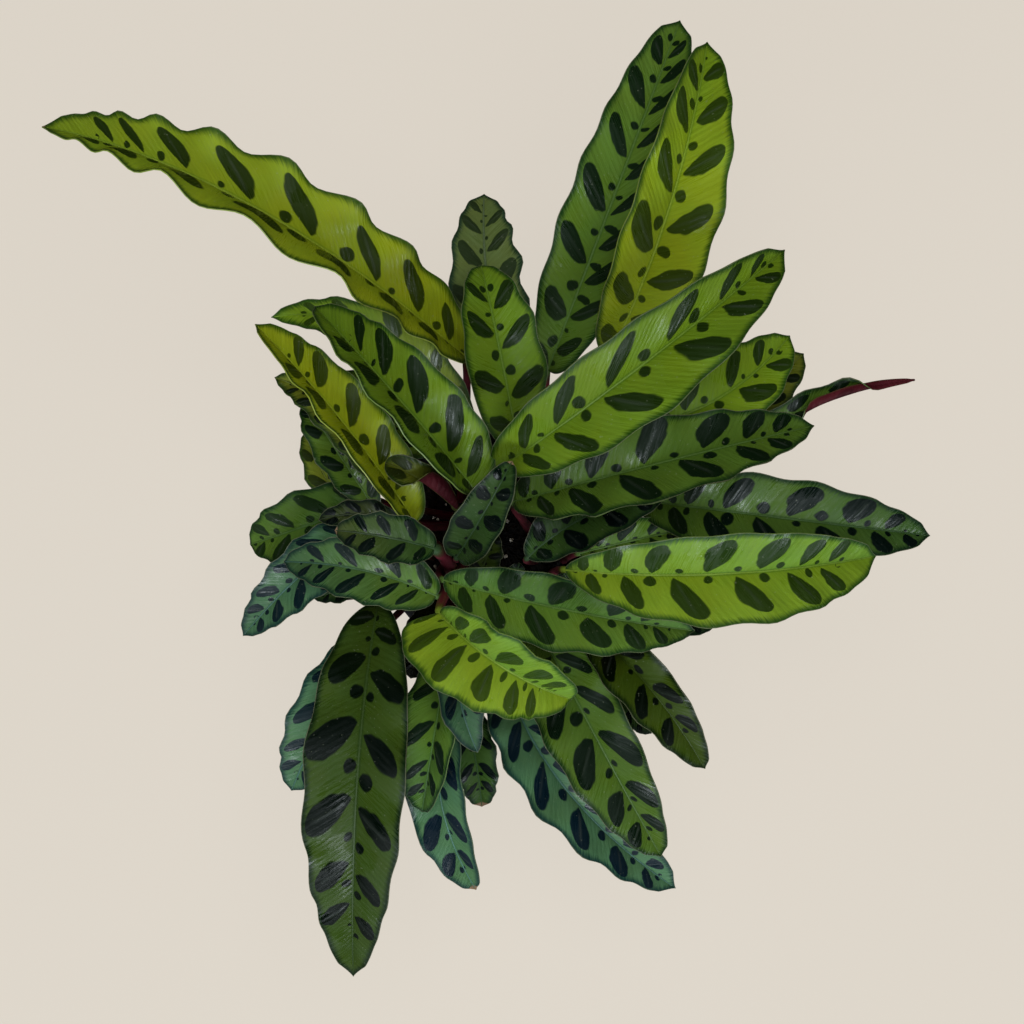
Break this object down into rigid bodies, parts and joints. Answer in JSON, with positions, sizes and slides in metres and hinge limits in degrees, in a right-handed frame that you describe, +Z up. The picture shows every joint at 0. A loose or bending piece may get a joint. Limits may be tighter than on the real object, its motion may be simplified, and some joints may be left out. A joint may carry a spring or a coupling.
{
  "type": "potted rattlesnake plant",
  "caption": "Bushy potted foliage plant with long, narrow, rippled leaves patterned in two greens, on thin stalks in a round nursery pot.",
  "frame": {"origin": "middle of the flat underside of the pot's foot", "axes": "+Z up out of the pot; +Y towards the long upward-pointing leaves at the back, +X towards the long pale and dark leaves that point right"},
  "size_m": [0.4316, 0.4789, 0.3404],
  "materials": {
    "leaf": "satin",
    "soil": "matte",
    "pot": "satin"
  },
  "bodies": {
    "root": {"leaf_01_nw_long": "leaf", "leaf_02_n_rear": "leaf", "leaf_03_n_front": "leaf", "leaf_04_ne_rear": "leaf", "leaf_05_ne_front": "leaf", "leaf_06_ne_broad": "leaf", "leaf_07_e_behind": "leaf", "leaf_08_e_lowest": "leaf", "leaf_09_e_rolled": "leaf", "leaf_10_e_upper": "leaf", "leaf_11_e_dark": "leaf", "leaf_12_e_bright": "leaf", "leaf_13_e_hidden": "leaf", "leaf_14_ese": "leaf", "leaf_15_se_broad": "leaf", "leaf_16_s_long": "leaf", "leaf_17_sw_behind": "leaf", "leaf_18_s_mid": "leaf", "leaf_19_s_low": "leaf", "leaf_20_s_small": "leaf", "leaf_21_s_blunt": "leaf", "leaf_22_se_large": "leaf", "leaf_23_se_lower": "leaf", "leaf_24_se_right": "leaf", "leaf_25_se_sliver": "leaf", "leaf_26_nw_main": "leaf", "leaf_27_nw_rear": "leaf", "leaf_28_w_olive": "leaf", "leaf_29_w_behind": "leaf", "leaf_30_w_dark": "leaf", "leaf_31_w_lowest": "leaf", "leaf_32_w_long": "leaf", "leaf_33_w_narrow": "leaf", "leaf_34_w_small": "leaf", "leaf_35_w_front": "leaf", "leaf_36_wsw": "leaf", "leaf_37_sw_low": "leaf", "leaf_38_crown": "leaf", "leaf_39_curled": "leaf", "leaf_40_e_near": "leaf", "leaf_41_e_small": "leaf", "leaf_42_low_n": "leaf", "leaf_43_low_e": "leaf", "leaf_44_low_sw": "leaf", "leaf_45_low_s": "leaf", "leaf_46_nw_under": "leaf", "leaf_47_low_se": "leaf", "pot": "pot", "soil": "soil"}
  },
  "joints": []
}
